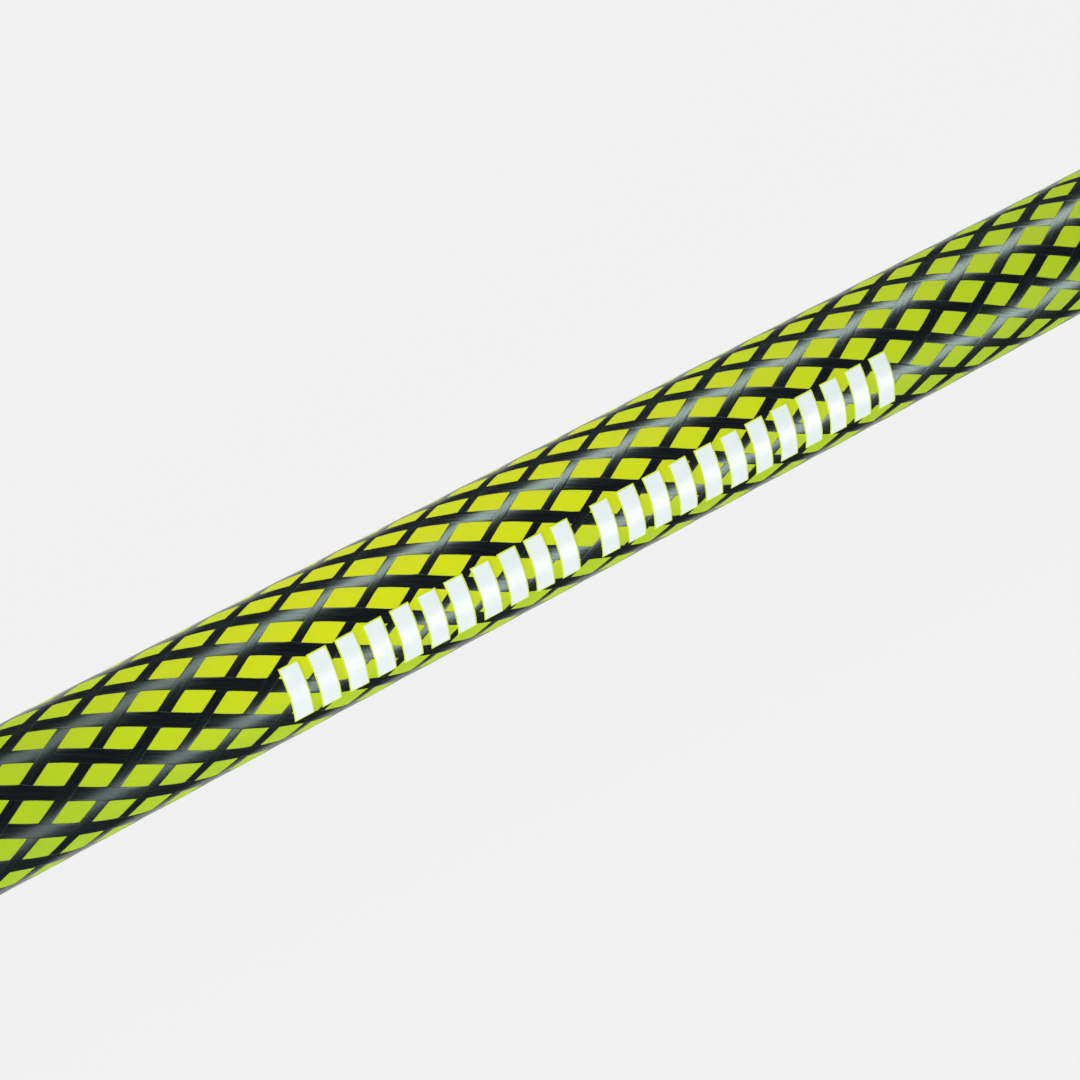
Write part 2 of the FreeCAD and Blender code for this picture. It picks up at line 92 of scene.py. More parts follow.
SKIN_START = 286.0
SKIN_COLUMNS = 160
ROW_STEP = 1.5
HOOK_ROWS = 96
TIP_ROWS = 22
PROFILE_POINTS = 48
POLE_LIFT = 0.02  # rounds the very tip, as a share of the last row's step
EDGE_DEPTH = 0.05  # the hidden edges of what lies on the skin end this far under it
SLIVER = 1e-4  # twice the area of the smallest face that is kept
SLACK = 1e-6  # how far a point may miss the arc or line that it lies on
OUT_OF_REACH = 1e3  # the depth from a part of the outer edge that a point doesn't face

# The braid: 11 tows each way round, drawn as diamonds with sides of the same length everywhere.
TOWS = 11
CELL_SIDE = 8.28
FACING = 10.0 / 360.0  # the turn that faces the camera on the straight shaft
BRAID_STATION = 429.4  # where the two phases below hold
TOW_START = SKIN_START + 1.0
TOW_STEP = 1.2
TOW_STEP_IN_HEAD = 0.5
FINE_STEPS_START = NECK - 60.0
WIDTH_STATIONS = (324.0, 352.0, 380.0, 422.0, 450.0, 478.0, 506.0, 534.0, 600.0, 700.0)
# For each family: which way round it winds, its phase, how fast the phase runs before and after
# BRAID_STATION against the even braid, and the tows' widths at WIDTH_STATIONS.
FAMILIES = {
    "toeward": {
        "sign": 1,
        "phase": 14.687,
        "paces": (0.9940, 0.9898),
        "widths": (2.78, 2.72, 2.70, 2.78, 2.54, 2.32, 2.28, 2.08, 2.10, 2.25),
    },
    "heelward": {
        "sign": -1,
        "phase": 15.053,
        "paces": (1.0148, 1.0028),
        "widths": (2.20, 2.12, 1.68, 1.62, 1.80, 2.15, 2.38, 2.45, 2.35, 2.25),
    },
}
# From the middle of a tow to its edge: share of its half width, share of its height. The tow is flat,
# with steep edges. Where the share of its height is 0, it ends EDGE_DEPTH under the skin.
TOW_HALF_SECTION = ((0.0, 1.0), (0.55, 1.0), (0.945, 0.98), (0.985, 0.8), (1.0, 0.0))
TOW_HEIGHT = 0.036
TOW_WAVE = 0.009  # how much higher a tow lies where it passes over another
TOW_FLARE = 0.30  # a tow is this much wider where it meets another
TOW_FLARE_REACH = 0.13  # as a share of the way from one crossing to the next
TOW_WANDER = ((0.05, 61.0, 2.4), (0.03, 17.0, 4.1))  # share of the width, its pace, shift for each tow
TOW_STRETCH = 1.15  # length along a tow for each millimetre along the stick
TOW_UV_STEP = 3.0  # keeps the streaks of different tows apart
TOE_COAT_BACK = 6.0  # how far before the toe's tip circle the coat starts
TOE_COAT_LAP = 2.0  # how far the tows run on under it
TOE_COAT_HEIGHT = 0.24
TOE_COAT_ROLL = 2.2  # the length over which its rounded edge rises
TOE_COAT_ROUNDING = 0.35

MARK_GROUPS = ((369.5, 66.1, 11), (441.5, 74.6, 12))  # start, length, count
MARK_WIDTH = 3.8
MARK_TURNS = (15.7 / 360.0, 63.3 / 360.0)
MARK_LAYERS = (("mark_borders", 0.075, 0.28), ("marks", 0.105, 0.0))  # name, height, border
MARK_GRID = (7, 28)  # points along and round a bar

MM = 0.001


# ---- the handle frame in the row frame ----


def handle_frame():
    """Origin and axes of the handle frame, found from the mounts on the butt and the playing face."""
    along = -Vector(MOUNTS["butt_end"]["axis"]).normalized()
    face = Vector(MOUNTS["playing_face"]["axis"])
    up = -(face - along * face.dot(along)).normalized()
    side = up.cross(along)
    origin = Vector(MOUNTS["butt_end"]["pos_m"]) + along * CAP_THICKNESS * MM
    return origin, along, side, up


ORIGIN, ALONG, SIDE, UP = handle_frame()
AXES = np.array([ALONG, SIDE, UP])


def to_row(points):
    """Row-frame metres for an array of handle-frame millimetres."""
    return np.array(ORIGIN) + np.asarray(points) @ AXES * MM


# ---- the skin's shape ----


def smooth_step(value, start, end):
    """From 0 at the start to 1 at the end, level at both."""
    share = np.clip((value - start) / (end - start), 0.0, 1.0)
    return share * share * (3 - 2 * share)


def heading(angle):
    return np.array([math.cos(angle), math.sin(angle)])


def outward(angle):
    """The outward side of a boundary that is walked anticlockwise with this heading."""
    return np.array([math.sin(angle), -math.cos(angle)])


HEEL_CENTRE = np.array([BACK_EDGE, HEEL_RADIUS - NECK_WIDTH / 2])
BASE_CENTRE = HEEL_CENTRE - outward(HEEL_TURN) * (BASE_RADIUS - HEEL_RADIUS)
TOE_CENTRE = BASE_CENTRE + outward(BASE_TURN) * (BASE_RADIUS - TOE_RADIUS)
FLAT_START = TOE_CENTRE + outward(TOE_TURN) * TOE_RADIUS
FLAT_END = FLAT_START + heading(TOE_TURN) * TOE_FLAT
TIP_CENTRE = FLAT_END - outward(TOE_TURN) * TIP_RADIUS
HOOK_CENTRE = TIP_CENTRE - outward(TOE_TURN) * (TIP_RADIUS + HOOK_RADIUS)
OUTER_ARCS = (
    (HEEL_CENTRE, HEEL_RADIUS, 0.0, HEEL_TURN),
    (BASE_CENTRE, BASE_RADIUS, HEEL_TURN, BASE_TURN),
    (TOE_CENTRE, TOE_RADIUS, BASE_TURN, TOE_TURN),
)


def faces_arc(points, centre, start, end):
    """Whether points lie in an arc's sector, seen from its centre, at whatever distance."""
    away = points - centre
    turn = np.arctan2(away[..., 0], -away[..., 1]) % (2 * math.pi)
    return (turn >= start - SLACK) & (turn <= end + SLACK)


def depth_from_outer(points):
    """How far points in the head lie inside its outer edge."""
    on_neck = points[:, 0] <= BACK_EDGE + SLACK
    gaps = [np.where(on_neck, points[:, 1] + NECK_WIDTH / 2, OUT_OF_REACH)]
    for centre, radius, start, end in OUTER_ARCS:
        gap = radius - np.linalg.norm(points - centre, axis=1)
        gaps.append(np.where(faces_arc(points, centre, start, end), gap, OUT_OF_REACH))
    along_flat = (points - FLAT_START) @ heading(TOE_TURN)
    on_flat = (along_flat >= -SLACK) & (along_flat <= TOE_FLAT + SLACK)
    gaps.append(np.where(on_flat, (FLAT_START - points) @ outward(TOE_TURN), OUT_OF_REACH))
    return np.min(gaps, axis=0)


def outer_end(angle):
    """Where a ray from the hook's centre leaves the head."""
    way = outward(angle)
    across = (HOOK_CENTRE[1] + NECK_WIDTH / 2) / max(math.cos(angle), SLACK)
    if angle < math.pi / 2 and HOOK_CENTRE[0] + across * way[0] <= BACK_EDGE:
        return HOOK_CENTRE + way * across
    for centre, radius, start, end in OUTER_ARCS:
        start_gap = HOOK_CENTRE - centre
        half = start_gap @ way
        reach = -half + math.sqrt(half * half - start_gap @ start_gap + radius * radius)
        point = HOOK_CENTRE + way * reach
        if faces_arc(point, centre, start, end):
            return point
    normal = outward(TOE_TURN)
    return HOOK_CENTRE + way * (((FLAT_START - HOOK_CENTRE) @ normal) / (way @ normal))


def edge_height(depth, thickness, radius):
    """Height over the middle plane at a depth from an edge that is rounded with this radius."""
    short = np.clip(radius - depth, 0.0, radius)
    return thickness / 2 - radius + np.sqrt(radius * radius - short * short)


def even_loop(loop):
    """A closed loop of points spread evenly round its length, and that length."""
    closed = np.vstack([loop, loop[:1]])
    steps = np.linalg.norm(np.diff(closed, axis=0), axis=1)
    reach = np.concatenate([[0.0], np.cumsum(steps)])
    total = reach[-1]
    wanted = np.arange(SKIN_COLUMNS) / SKIN_COLUMNS * total
    return np.column_stack([np.interp(wanted, reach, closed[:, i]) for i in range(3)]), total


QUARTER = np.sin(np.linspace(0, 1, PROFILE_POINTS) * math.pi / 2)
SHARES = np.concatenate([QUARTER, QUARTER[::-1], -QUARTER[1:], -QUARTER[::-1][1:-1]])
ON_BACK = np.ones(len(SHARES), bool)
ON_BACK[PROFILE_POINTS : 3 * PROFILE_POINTS - 1] = False


def section_loop(inner, outer, depth_of, thickness, back_radius, face_radius):
    """The section over one line across the stick, in plan coordinates with height as the third."""
    middle = (inner + outer) / 2
    plan = middle + SHARES[:, None] * (outer - middle)
    depth = np.maximum(depth_of(plan), 0.0)
    high = edge_height(depth, thickness, back_radius)
    low = -edge_height(depth, thickness, face_radius)
    return np.column_stack([plan, np.where(ON_BACK, high, low)])


def on_bow(loop, turn, before=0.0):
    """A section loop moved to where the bow has turned this far, or to a distance before the bow."""
    x = BOW_START - before + BOW_RADIUS * math.sin(turn)
    z = -BOW_RADIUS * (1 - math.cos(turn))
    x_axis = [math.cos(turn), 0.0, -math.sin(turn)]
    z_axis = [math.sin(turn), 0.0, math.cos(turn)]
    return np.array([x, 0.0, z]) + loop @ np.array([x_axis, [0.0, 1.0, 0.0], z_axis])


def shaft_row(u):
    """One section of the shaft, in the handle frame."""
    mix = smooth_step(u, BOW_START, NECK)
    at_neck = np.array([NECK_WIDTH / 2, NECK_THICKNESS / 2, BACK_RADIUS, FACE_RADIUS])
    half, half_thickness, back, face = SHAFT_RADIUS + (at_neck - SHAFT_RADIUS) * mix
    thickness = 2 * half_thickness
    back = min(back, thickness - face)

    def depth_of(plan):
        return half - np.abs(plan[:, 1])

    loop = section_loop(np.array([0.0, half]), np.array([0.0, -half]), depth_of, thickness, back, face)
    turn = BOW_ANGLE * min(max((u - BOW_START) / BOW_LENGTH, 0.0), 1.0)
    return on_bow(loop, turn, max(BOW_START - u, 0.0))


def head_lines():
    """The lines across the head, from its inner edge to its outer edge, in order towards the toe."""
    half = NECK_WIDTH / 2

    def neck_depth(plan):
        return np.minimum(half - plan[:, 1], depth_from_outer(plan))

    def hook_depth(plan):
        return np.minimum(np.linalg.norm(plan - HOOK_CENTRE, axis=1) - HOOK_RADIUS, depth_from_outer(plan))

    def tip_depth(plan):
        return TIP_RADIUS - np.linalg.norm(plan - TIP_CENTRE, axis=1)

    for x in np.arange(ROW_STEP, HOOK_CENTRE[0], ROW_STEP):
        yield np.array([x, half]), np.array([x, -half]), neck_depth
    for angle in np.linspace(0.0, TOE_TURN, HOOK_ROWS):
        yield HOOK_CENTRE + outward(angle) * HOOK_RADIUS, outer_end(angle), hook_depth
    for angle in np.linspace(0.0, math.pi / 2, TIP_ROWS)[1:-1]:
        middle = TIP_CENTRE + heading(TOE_TURN) * TIP_RADIUS * math.sin(angle)
        reach = outward(TOE_TURN) * TIP_RADIUS * math.cos(angle)
        yield middle - reach, middle + reach, tip_depth


class Skin:
    """The stick's outer surface as a grid of sections, each with its points spread evenly round."""

    def __init__(self):
        stations = list(np.arange(SKIN_START, NECK, ROW_STEP)) + [NECK]
        rows = [even_loop(shaft_row(u)) for u in stations]
        middle = np.zeros(2)
        for inner, outer, depth_of in head_lines():
            loop = section_loop(inner, outer, depth_of, NECK_THICKNESS, BACK_RADIUS, FACE_RADIUS)
            rows.append(even_loop(on_bow(loop, BOW_ANGLE)))
            new_middle = (inner + outer) / 2
            stations.append(stations[-1] + np.linalg.norm(new_middle - middle))
            middle = new_middle
        self.stations = np.array(stations)
        self.points = np.array([row[0] for row in rows])
        self.lengths_round = np.array([row[1] for row in rows])
        self.tip_start = self.stations[-(TIP_ROWS - 1)]
        self.pole = self.points[-1].mean(axis=0)
        along = np.gradient(self.points, self.stations, axis=0)
        around = np.roll(self.points, -1, axis=1) - np.roll(self.points, 1, axis=1)
        normals = np.cross(around, along)
        self.normals = normals / np.linalg.norm(normals, axis=2, keepdims=True)

    def _blend(self, grid, u, v):
        """What a grid over the skin holds at stations and turns between its points."""
        row = np.clip(np.searchsorted(self.stations, u) - 1, 0, len(self.stations) - 2)
        up = (u - self.stations[row]) / (self.stations[row + 1] - self.stations[row])
        up = np.clip(up, 0.0, 1.0)[..., None]
        spot = (v % 1.0) * SKIN_COLUMNS
        column = np.floor(spot).astype(int)
        over = (spot - column)[..., None]
        column %= SKIN_COLUMNS
        following = (column + 1) % SKIN_COLUMNS
        first = grid[row, column] * (1 - over) + grid[row, following] * over
        second = grid[row + 1, column] * (1 - over) + grid[row + 1, following] * over
        return first * (1 - up) + second * up

    def normal(self, u, v):
        found = self._blend(self.normals, u, v)
        return found / np.linalg.norm(found, axis=-1, keepdims=True)

    def point(self, u, v, height=0.0):
        lift = np.asarray(height)[..., None]
        return self._blend(self.points, u, v) + self.normal(u, v) * lift


SKIN = Skin()


# ---- meshes ----


def add_object(name, data):
    made = bpy.data.objects.new(name, data)
    bpy.context.scene.collection.objects.link(made)
    return made


def mesh_piece(name, points, faces, uvs=None, smooth=True):
    """A mesh object from handle-frame points and faces, with one UV per face corner."""
    mesh = bpy.data.meshes.new(name)
    mesh.from_pydata(to_row(points).tolist(), [], faces)
    if uvs is not None:
        layer = mesh.uv_layers.new(name="UVMap")
        layer.data.foreach_set("uv", np.asarray(uvs, dtype=np.float32).ravel())
    mesh.validate()
    mesh.polygons.foreach_set("use_smooth", [smooth] * len(mesh.polygons))
    mesh.update()
    piece = add_object(name, mesh)
    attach(piece, "root")
    return piece


def cell_corners(grid):
    """The four corners of every cell of a grid, in the order that makes a face."""
    return np.stack([grid[:-1, :-1], grid[:-1, 1:], grid[1:, 1:], grid[1:, :-1]], axis=2)


def grid_faces(rows, columns, closed=False, first=0):
    """Quads over a grid of points, row by row; closed joins the last column to the first. They face
    outward where the rows run towards the head and the columns from the back towards the heel side."""
    points = first + np.arange(rows * columns).reshape(rows, columns)
    if closed:
        points = np.hstack([points, points[:, :1]])
    return cell_corners(points).reshape(-1, 4).tolist()


def grid_uvs(us, vs):
    """UVs for grid_faces: us has one value for each row, vs one more than there are face columns."""
    return cell_corners(np.stack(np.meshgrid(us, vs, indexing="ij"), axis=-1)).reshape(-1, 2).tolist()


def without_slivers(points, faces, uvs=()):
    """The faces that have some area, and their UVs."""
    corners = points[np.array(faces)]
    doubled = np.cross(corners[:, 2] - corners[:, 0], corners[:, 3] - corners[:, 1])
    keep = np.flatnonzero(np.linalg.norm(doubled, axis=1) > SLIVER)
    return [faces[i] for i in keep], [uv for i in keep for uv in uvs[4 * i : 4 * i + 4]]


def skin_patch(name, rows, height):
    """The skin itself between two rows of its grid, closed over the tip, at a height over it."""
    stations = SKIN.stations[rows]
    points = SKIN.points[rows] + SKIN.normals[rows] * np.asarray(height).reshape(-1, 1, 1)
    count = len(stations)
    faces = grid_faces(count, SKIN_COLUMNS, closed=True)
    uvs = grid_uvs(stations * MM, np.arange(SKIN_COLUMNS + 1) / SKIN_COLUMNS)
    pole = points[-1].mean(axis=0) + (SKIN.pole - SKIN.points[-2].mean(axis=0)) * POLE_LIFT
    last_row = (count - 1) * SKIN_COLUMNS
    u = stations[-1] * MM
    for j in range(SKIN_COLUMNS):
        faces.append((last_row + j, last_row + (j + 1) % SKIN_COLUMNS, count * SKIN_COLUMNS))
        uvs += [(u, j / SKIN_COLUMNS), (u, (j + 1) / SKIN_COLUMNS), (u, (j + 0.5) / SKIN_COLUMNS)]
    return mesh_piece(name, np.vstack([points.reshape(-1, 3), pole]), faces, uvs)


def build_skin():
    skin = skin_patch("shaft_and_head_skin", slice(None), 0.0)
    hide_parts("braid_ply")
    return skin


def braid_turns():
    """How many diamonds of the braid lie between the reference station and each row of the skin."""
    half_gap = SKIN.lengths_round / TOWS / 2
    diamond = 2 * np.sqrt(CELL_SIDE**2 - half_gap**2)
    steps = np.diff(SKIN.stations) * (1 / diamond[1:] + 1 / diamond[:-1]) / 2
    turns = np.concatenate([[0.0], np.cumsum(steps)])
    return turns - np.interp(BRAID_STATION, SKIN.stations, turns)


BRAID_TURNS = braid_turns()


def phase(family, u):
    """Which tow of a family crosses the line at FACING at a station, as a running number."""
    turns = np.interp(u, SKIN.stations, BRAID_TURNS)
    before, after = family["paces"]
    return family["phase"] + np.where(turns < 0, before, after) * turns


def row_dots(first, second):
    """Dot products of the vectors in two arrays, one for each row."""
    return np.einsum("ij,ij->i", first, second)


def walk(u, v, direction, distance):
    """The stations and turns reached by walking a short way over the skin in given directions."""
    step_u, step_v = 0.8, 1.0 / SKIN_COLUMNS
    by_u = (SKIN.point(u + step_u, v) - SKIN.point(u - step_u, v)) / (2 * step_u)
    by_v = (SKIN.point(u, v + step_v) - SKIN.point(u, v - step_v)) / (2 * step_v)
    normal = SKIN.normal(u, v)
    flat = direction - normal * row_dots(normal, direction)[:, None]
    flat /= np.linalg.norm(flat, axis=1, keepdims=True)
    uu, uv, vv = row_dots(by_u, by_u), row_dots(by_u, by_v), row_dots(by_v, by_v)
    along_u, along_v = row_dots(flat, by_u), row_dots(flat, by_v)
    spread = uu * vv - uv * uv
    new_u = u + distance * (along_u * vv - along_v * uv) / spread
    new_v = v + distance * (along_v * uu - along_u * uv) / spread
    return new_u, new_v


def tow_points(family, number, stations):
    """The ribbon of one tow: for each station, the points of its section from one edge to the other."""
    sign = family["sign"]
    turn = FACING + sign * (phase(family, stations) - number) / TOWS
    forward = np.gradient(SKIN.point(stations, turn), axis=0)
    sideways = np.cross(SKIN.normal(stations, turn), forward)

    crossing = phase(FAMILIES["toeward"], stations) + phase(FAMILIES["heelward"], stations)
    to_crossing = crossing - np.round(crossing)
    wander = sum(share * np.sin(stations / pace + shift * number) for share, pace, shift in TOW_WANDER)
    width = np.interp(stations, WIDTH_STATIONS, family["widths"]) * (1 + wander)
    width += TOW_FLARE * np.exp(-((to_crossing / TOW_FLARE_REACH) ** 2))
    crown = TOW_HEIGHT + sign * TOW_WAVE * np.cos(math.pi * crossing)

    halves = []
    for side in (1, -1):
        u, v, reached, rows = stations, turn, 0.0, []
        for across, lift in TOW_HALF_SECTION:
            u, v = walk(u, v, sideways, side * (across - reached) * width / 2)
            reached = across
            rows.append(SKIN.point(u, v, crown * lift if lift else np.full_like(crown, -EDGE_DEPTH)))
        halves.append(rows)
    return np.stack(halves[0][:0:-1] + halves[1], axis=1)


def build_tows():
    """Each family of tows is one piece, made of 11 ribbons. Where the families cross, they take turns
    to lie on top."""
    end = SKIN.tip_start - TOE_COAT_BACK + TOE_COAT_LAP
    coarse = np.arange(TOW_START, FINE_STEPS_START, TOW_STEP)
    fine = np.arange(coarse[-1] + TOW_STEP_IN_HEAD, end, TOW_STEP_IN_HEAD)
    stations = np.concatenate([coarse, fine])
    half = [across for across, _ in TOW_HALF_SECTION]
    acrosses = half[:0:-1] + [-across for across in half]
    columns = len(acrosses)
    made = []
    for name, family in FAMILIES.items():
        points, faces, uvs = [], [], []
        for number in range(TOWS):
            first = len(points) * len(stations) * columns
            points.append(tow_points(family, number, stations).reshape(-1, 3))
            faces += grid_faces(len(stations), columns, first=first)
            uvs += grid_uvs(stations * TOW_STRETCH, [a + TOW_UV_STEP * number for a in acrosses])
        piece = mesh_piece(f"tows_{name}", np.vstack(points), faces, uvs)
        made.append(piece)
    return made


def build_toe_coat():
    """A moulded end over the toe, where the tows are gathered and trimmed."""
    first = int(np.searchsorted(SKIN.stations, SKIN.tip_start - TOE_COAT_BACK))
    rows = slice(first, None)
    into = SKIN.stations[rows] - SKIN.stations[first]
    height = TOE_COAT_HEIGHT * np.minimum(1.0, into / TOE_COAT_ROLL) ** TOE_COAT_ROUNDING
    height[0] = -EDGE_DEPTH
    coat = skin_patch("toe_coat", rows, height)
    return coat


def mark_plate(u_range, v_range, height):
    """A thin plate on the skin with straight sides down into it: its points and faces."""
    u = np.pad(np.linspace(*u_range, MARK_GRID[0]), 1, "edge")
    v = np.pad(np.linspace(*v_range, MARK_GRID[1]), 1, "edge")
    grid_u, grid_v = np.meshgrid(u, v, indexing="ij")
    lift = np.full(grid_u.shape, height)
    lift[[0, -1], :] = -EDGE_DEPTH
    lift[:, [0, -1]] = -EDGE_DEPTH
    points = SKIN.point(grid_u, grid_v, lift).reshape(-1, 3)
    faces, _ = without_slivers(points, grid_faces(len(u), len(v)))
    return points, faces


def build_marks():
    """Two groups of plain upright bars along the shaft, and the thin lime borders that lie under them."""
    pieces = []
    for name, height, border in MARK_LAYERS:
        border_turn = border / (2 * math.pi * SHAFT_RADIUS)
        turns = (MARK_TURNS[0] - border_turn, MARK_TURNS[1] + border_turn)
        points, faces = [], []
        for start, length, count in MARK_GROUPS:
            for left in np.linspace(start, start + length - MARK_WIDTH, count) - border:
                first = sum(len(bar) for bar in points)
                bar, bar_faces = mark_plate((left, left + MARK_WIDTH + 2 * border), turns, height)
                points.append(bar)
                faces += [[first + corner for corner in face] for face in bar_faces]
        pieces.append(mesh_piece(name, np.vstack(points), faces, smooth=False))
    return pieces


# ---- the handle ----


def round_axis(x, radius, angle):
    """Points round the handle's axis, from stations, distances and angles that broadcast together."""
    return np.stack(np.broadcast_arrays(x, -radius * np.sin(angle), radius * np.cos(angle)), axis=-1)


def full_circle(segments):
    """Evenly spaced angles, once round."""
    return np.arange(segments) / segments * 2 * math.pi


WRAP_PITCH = 23.0
WRAP_WIDTH = 27.5
WRAP_SEGMENTS = 96
WRAP_EARLY_TURNS = 1.1  # the spiral starts this far before the butt, so that its first lap is whole
WRAP_EXTRA_TURNS = 1.2
WRAP_UNEVENNESS = 0.03
WRAP_RIPPLE = (3.7, 5.0)  # how fast its height wanders along it and across it
WRAP_UNDER_TAPE = 15.32  # the radius to which the finishing tape squeezes the end of the wrap
WRAP_SQUEEZE_LENGTH = 1.5
# Across the wrap, from its edge on top to its edge under the next turn: share of width, radius.
WRAP_SECTION = (
    (0.000, 15.10), (0.002, 15.70), (0.012, 15.90), (0.035, 15.99), (0.090, 16.00),
    (0.150, 15.93), (0.230, 15.66), (0.300, 15.50), (0.375, 15.43), (0.400, 15.36),
    (0.415, 15.20), (0.430, 15.14), (0.445, 15.20), (0.460, 15.36), (0.490, 15.44),
    (0.620, 15.46), (0.760, 15.46), (0.870, 15.38), (1.000, 15.05),
)


def build_grip_wrap():
    """A cushion tape wound in a spiral towards the head, each turn lapping over the one before, with a
    groove pressed along its middle."""
    count = int((GRIP_END / WRAP_PITCH + WRAP_EXTRA_TURNS) * WRAP_SEGMENTS)
    turns = np.arange(count)[:, None] / WRAP_SEGMENTS - WRAP_EARLY_TURNS
    angles = turns * 2 * math.pi
    # The columns run from the head's side to the butt's, so that the faces look outward.
    shares, radii = np.array(WRAP_SECTION[::-1]).T
    x = np.clip(turns * WRAP_PITCH + shares * WRAP_WIDTH, 0.0, GRIP_END)
    radius = radii + WRAP_UNEVENNESS * np.sin(angles * WRAP_RIPPLE[0] + shares * WRAP_RIPPLE[1])
    squeeze = np.clip((x - TAPE_START) / WRAP_SQUEEZE_LENGTH, 0.0, 1.0)
    radius += (np.minimum(radius, WRAP_UNDER_TAPE) - radius) * squeeze
    points = round_axis(x, radius, angles).reshape(-1, 3)
    faces = grid_faces(count, len(shares))
    row_length = math.hypot(2 * math.pi * GRIP_RADIUS, WRAP_PITCH) / WRAP_SEGMENTS
    uvs = grid_uvs(np.arange(count) * row_length, shares * WRAP_WIDTH)
    faces, uvs = without_slivers(points, faces, uvs)
    wrap = mesh_piece("grip_wrap_tape", points, faces, uvs)
    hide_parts("grip_wrap")
    return wrap


ROUND_SEGMENTS = 128
TAPE_OVER_WRAP = 15.62
TAPE_OVER_SHAFT = SHAFT_RADIUS + 0.17
TAPE_HIDDEN_EDGE = GRIP_RADIUS - 0.55
TAPE_STEP = 0.6  # half the length over which the tape comes down from the wrap to the shaft
TAPE_ON_WRAP = (TAPE_START - 0.6, GRIP_END - 0.3, 40)  # start, end, rows
TAPE_ON_SHAFT = (GRIP_END - 0.1, TAPE_END, 30)
TAPE_PITCH = 7.5
TAPE_LAP_SHARE = 0.20  # how much of each turn is the ridge over the lap
TAPE_LAP_HEIGHT = 0.22
TAPE_CREASE_HEIGHT = 0.05
TAPE_CREASES = ((5, 0.9, 0.0), (2, 0.0, 1.3))  # two waves: number round the handle, slant, shift
TAPE_FADE = 1.5


def build_finishing_tape():
    """Elastic tape in lapped turns, drawn in over the step at the end of the wrap."""
    x = np.concatenate([np.linspace(*TAPE_ON_WRAP), np.linspace(*TAPE_ON_SHAFT)])[:, None]
    angles = full_circle(ROUND_SEGMENTS)
    over_step = smooth_step(x, GRIP_END - TAPE_STEP, GRIP_END + TAPE_STEP)
    base = TAPE_OVER_WRAP + (TAPE_OVER_SHAFT - TAPE_OVER_WRAP) * over_step
    past_lap = ((x - TAPE_START) / TAPE_PITCH - angles / (2 * math.pi)) % 1.0
    lap = np.sqrt(np.clip(1 - past_lap / TAPE_LAP_SHARE, 0, 1))
    crease = math.prod(np.sin(angles * count + x * slant + shift) for count, slant, shift in TAPE_CREASES)
    ridge = TAPE_LAP_HEIGHT * lap + TAPE_CREASE_HEIGHT * np.clip(crease, 0, 1)
    radius = base + ridge * smooth_step(x, TAPE_END, TAPE_END - TAPE_FADE)
    radius[0] = TAPE_HIDDEN_EDGE
    radius[-1] = SHAFT_RADIUS - EDGE_DEPTH
    faces = grid_faces(len(x), ROUND_SEGMENTS, closed=True)
    uvs = grid_uvs(x[:, 0], np.arange(ROUND_SEGMENTS + 1) / ROUND_SEGMENTS * 2 * math.pi * GRIP_RADIUS)
    tape = mesh_piece("finishing_tape_turns", round_axis(x, radius, angles).reshape(-1, 3), faces, uvs)
    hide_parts("finishing_tape")
    return tape


COLLAR_START = GRIP_END + 0.25
COLLAR_BORE = SHAFT_RADIUS + 0.2
COLLAR_BORE_ENDS = (COLLAR_START + 0.2, COLLAR_END - 0.3)
COLLAR_ROUNDING = 1.2
COLLAR_ARC_POINTS = 7
COLLAR_GROOVE_POINTS = 9
COLLAR_GROOVE_OFFSET = 2.0  # of each groove from the middle
COLLAR_GROOVE_SIZE = (0.75, -0.55)  # half its width, and how far it is raised


def arc(x, radius, width, height, start, end, count):
    """Points of a profile, as stations and radii, along an arc about a station and a radius."""
    angles = np.linspace(start, end, count)
    return list(zip(x + width * np.cos(angles), radius + height * np.sin(angles)))


def build_collar():
    """A rubber ring with two grooves, rounded at both ends."""
    middle = (COLLAR_START + COLLAR_END) / 2
    rounding = (COLLAR_RADIUS - COLLAR_ROUNDING, COLLAR_ROUNDING, COLLAR_ROUNDING)
    groove = (COLLAR_RADIUS, *COLLAR_GROOVE_SIZE, math.pi, 0, COLLAR_GROOVE_POINTS)
    profile = [(COLLAR_BORE_ENDS[0], COLLAR_BORE)]
    profile += arc(COLLAR_START + COLLAR_ROUNDING, *rounding, math.pi, math.pi / 2, COLLAR_ARC_POINTS)
    profile += arc(middle - COLLAR_GROOVE_OFFSET, *groove)
    profile += arc(middle + COLLAR_GROOVE_OFFSET, *groove)
    profile += arc(COLLAR_END - COLLAR_ROUNDING, *rounding, math.pi / 2, 0, COLLAR_ARC_POINTS)
    profile += [(COLLAR_BORE_ENDS[1], COLLAR_BORE), profile[0]]
    x, radius = np.array(profile).T[:, :, None]
    points = round_axis(x, radius, full_circle(ROUND_SEGMENTS)).reshape(-1, 3)
    collar = mesh_piece("grip_collar_ring", points, grid_faces(len(profile), ROUND_SEGMENTS, closed=True))
    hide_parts("grip_collar")
    return collar


CAP_SEGMENTS = 288
CAP_RINGS = 110
CAP_RIM_RINGS = 12
CAP_RIM = 1.8
CAP_FLAT_RADIUS = CAP_RADIUS - CAP_RIM
CAP_INNER_RING = 0.4
CAP_RIBS = 12
CAP_GROOVE_RADIUS = 11.4
CAP_GROOVE_DEPTH = 0.45
CAP_DISH_DEPTH = 0.5
CAP_RIB_HEIGHT = 0.36
# Where each step of the relief starts and where it is complete: radii, or distances from the middle of
# the groove or of a rib.
CAP_GROOVE_WALL = (0.75, 0.40)
CAP_DISH_WALL = (9.6, 9.0)
CAP_RIB_WALL = (0.62, 0.40)
CAP_RIB_INNER_END = (2.6, 3.0)
CAP_RIB_OUTER_END = (8.8, 8.4)
CAP_HUB_WALL = (2.0, 1.6)
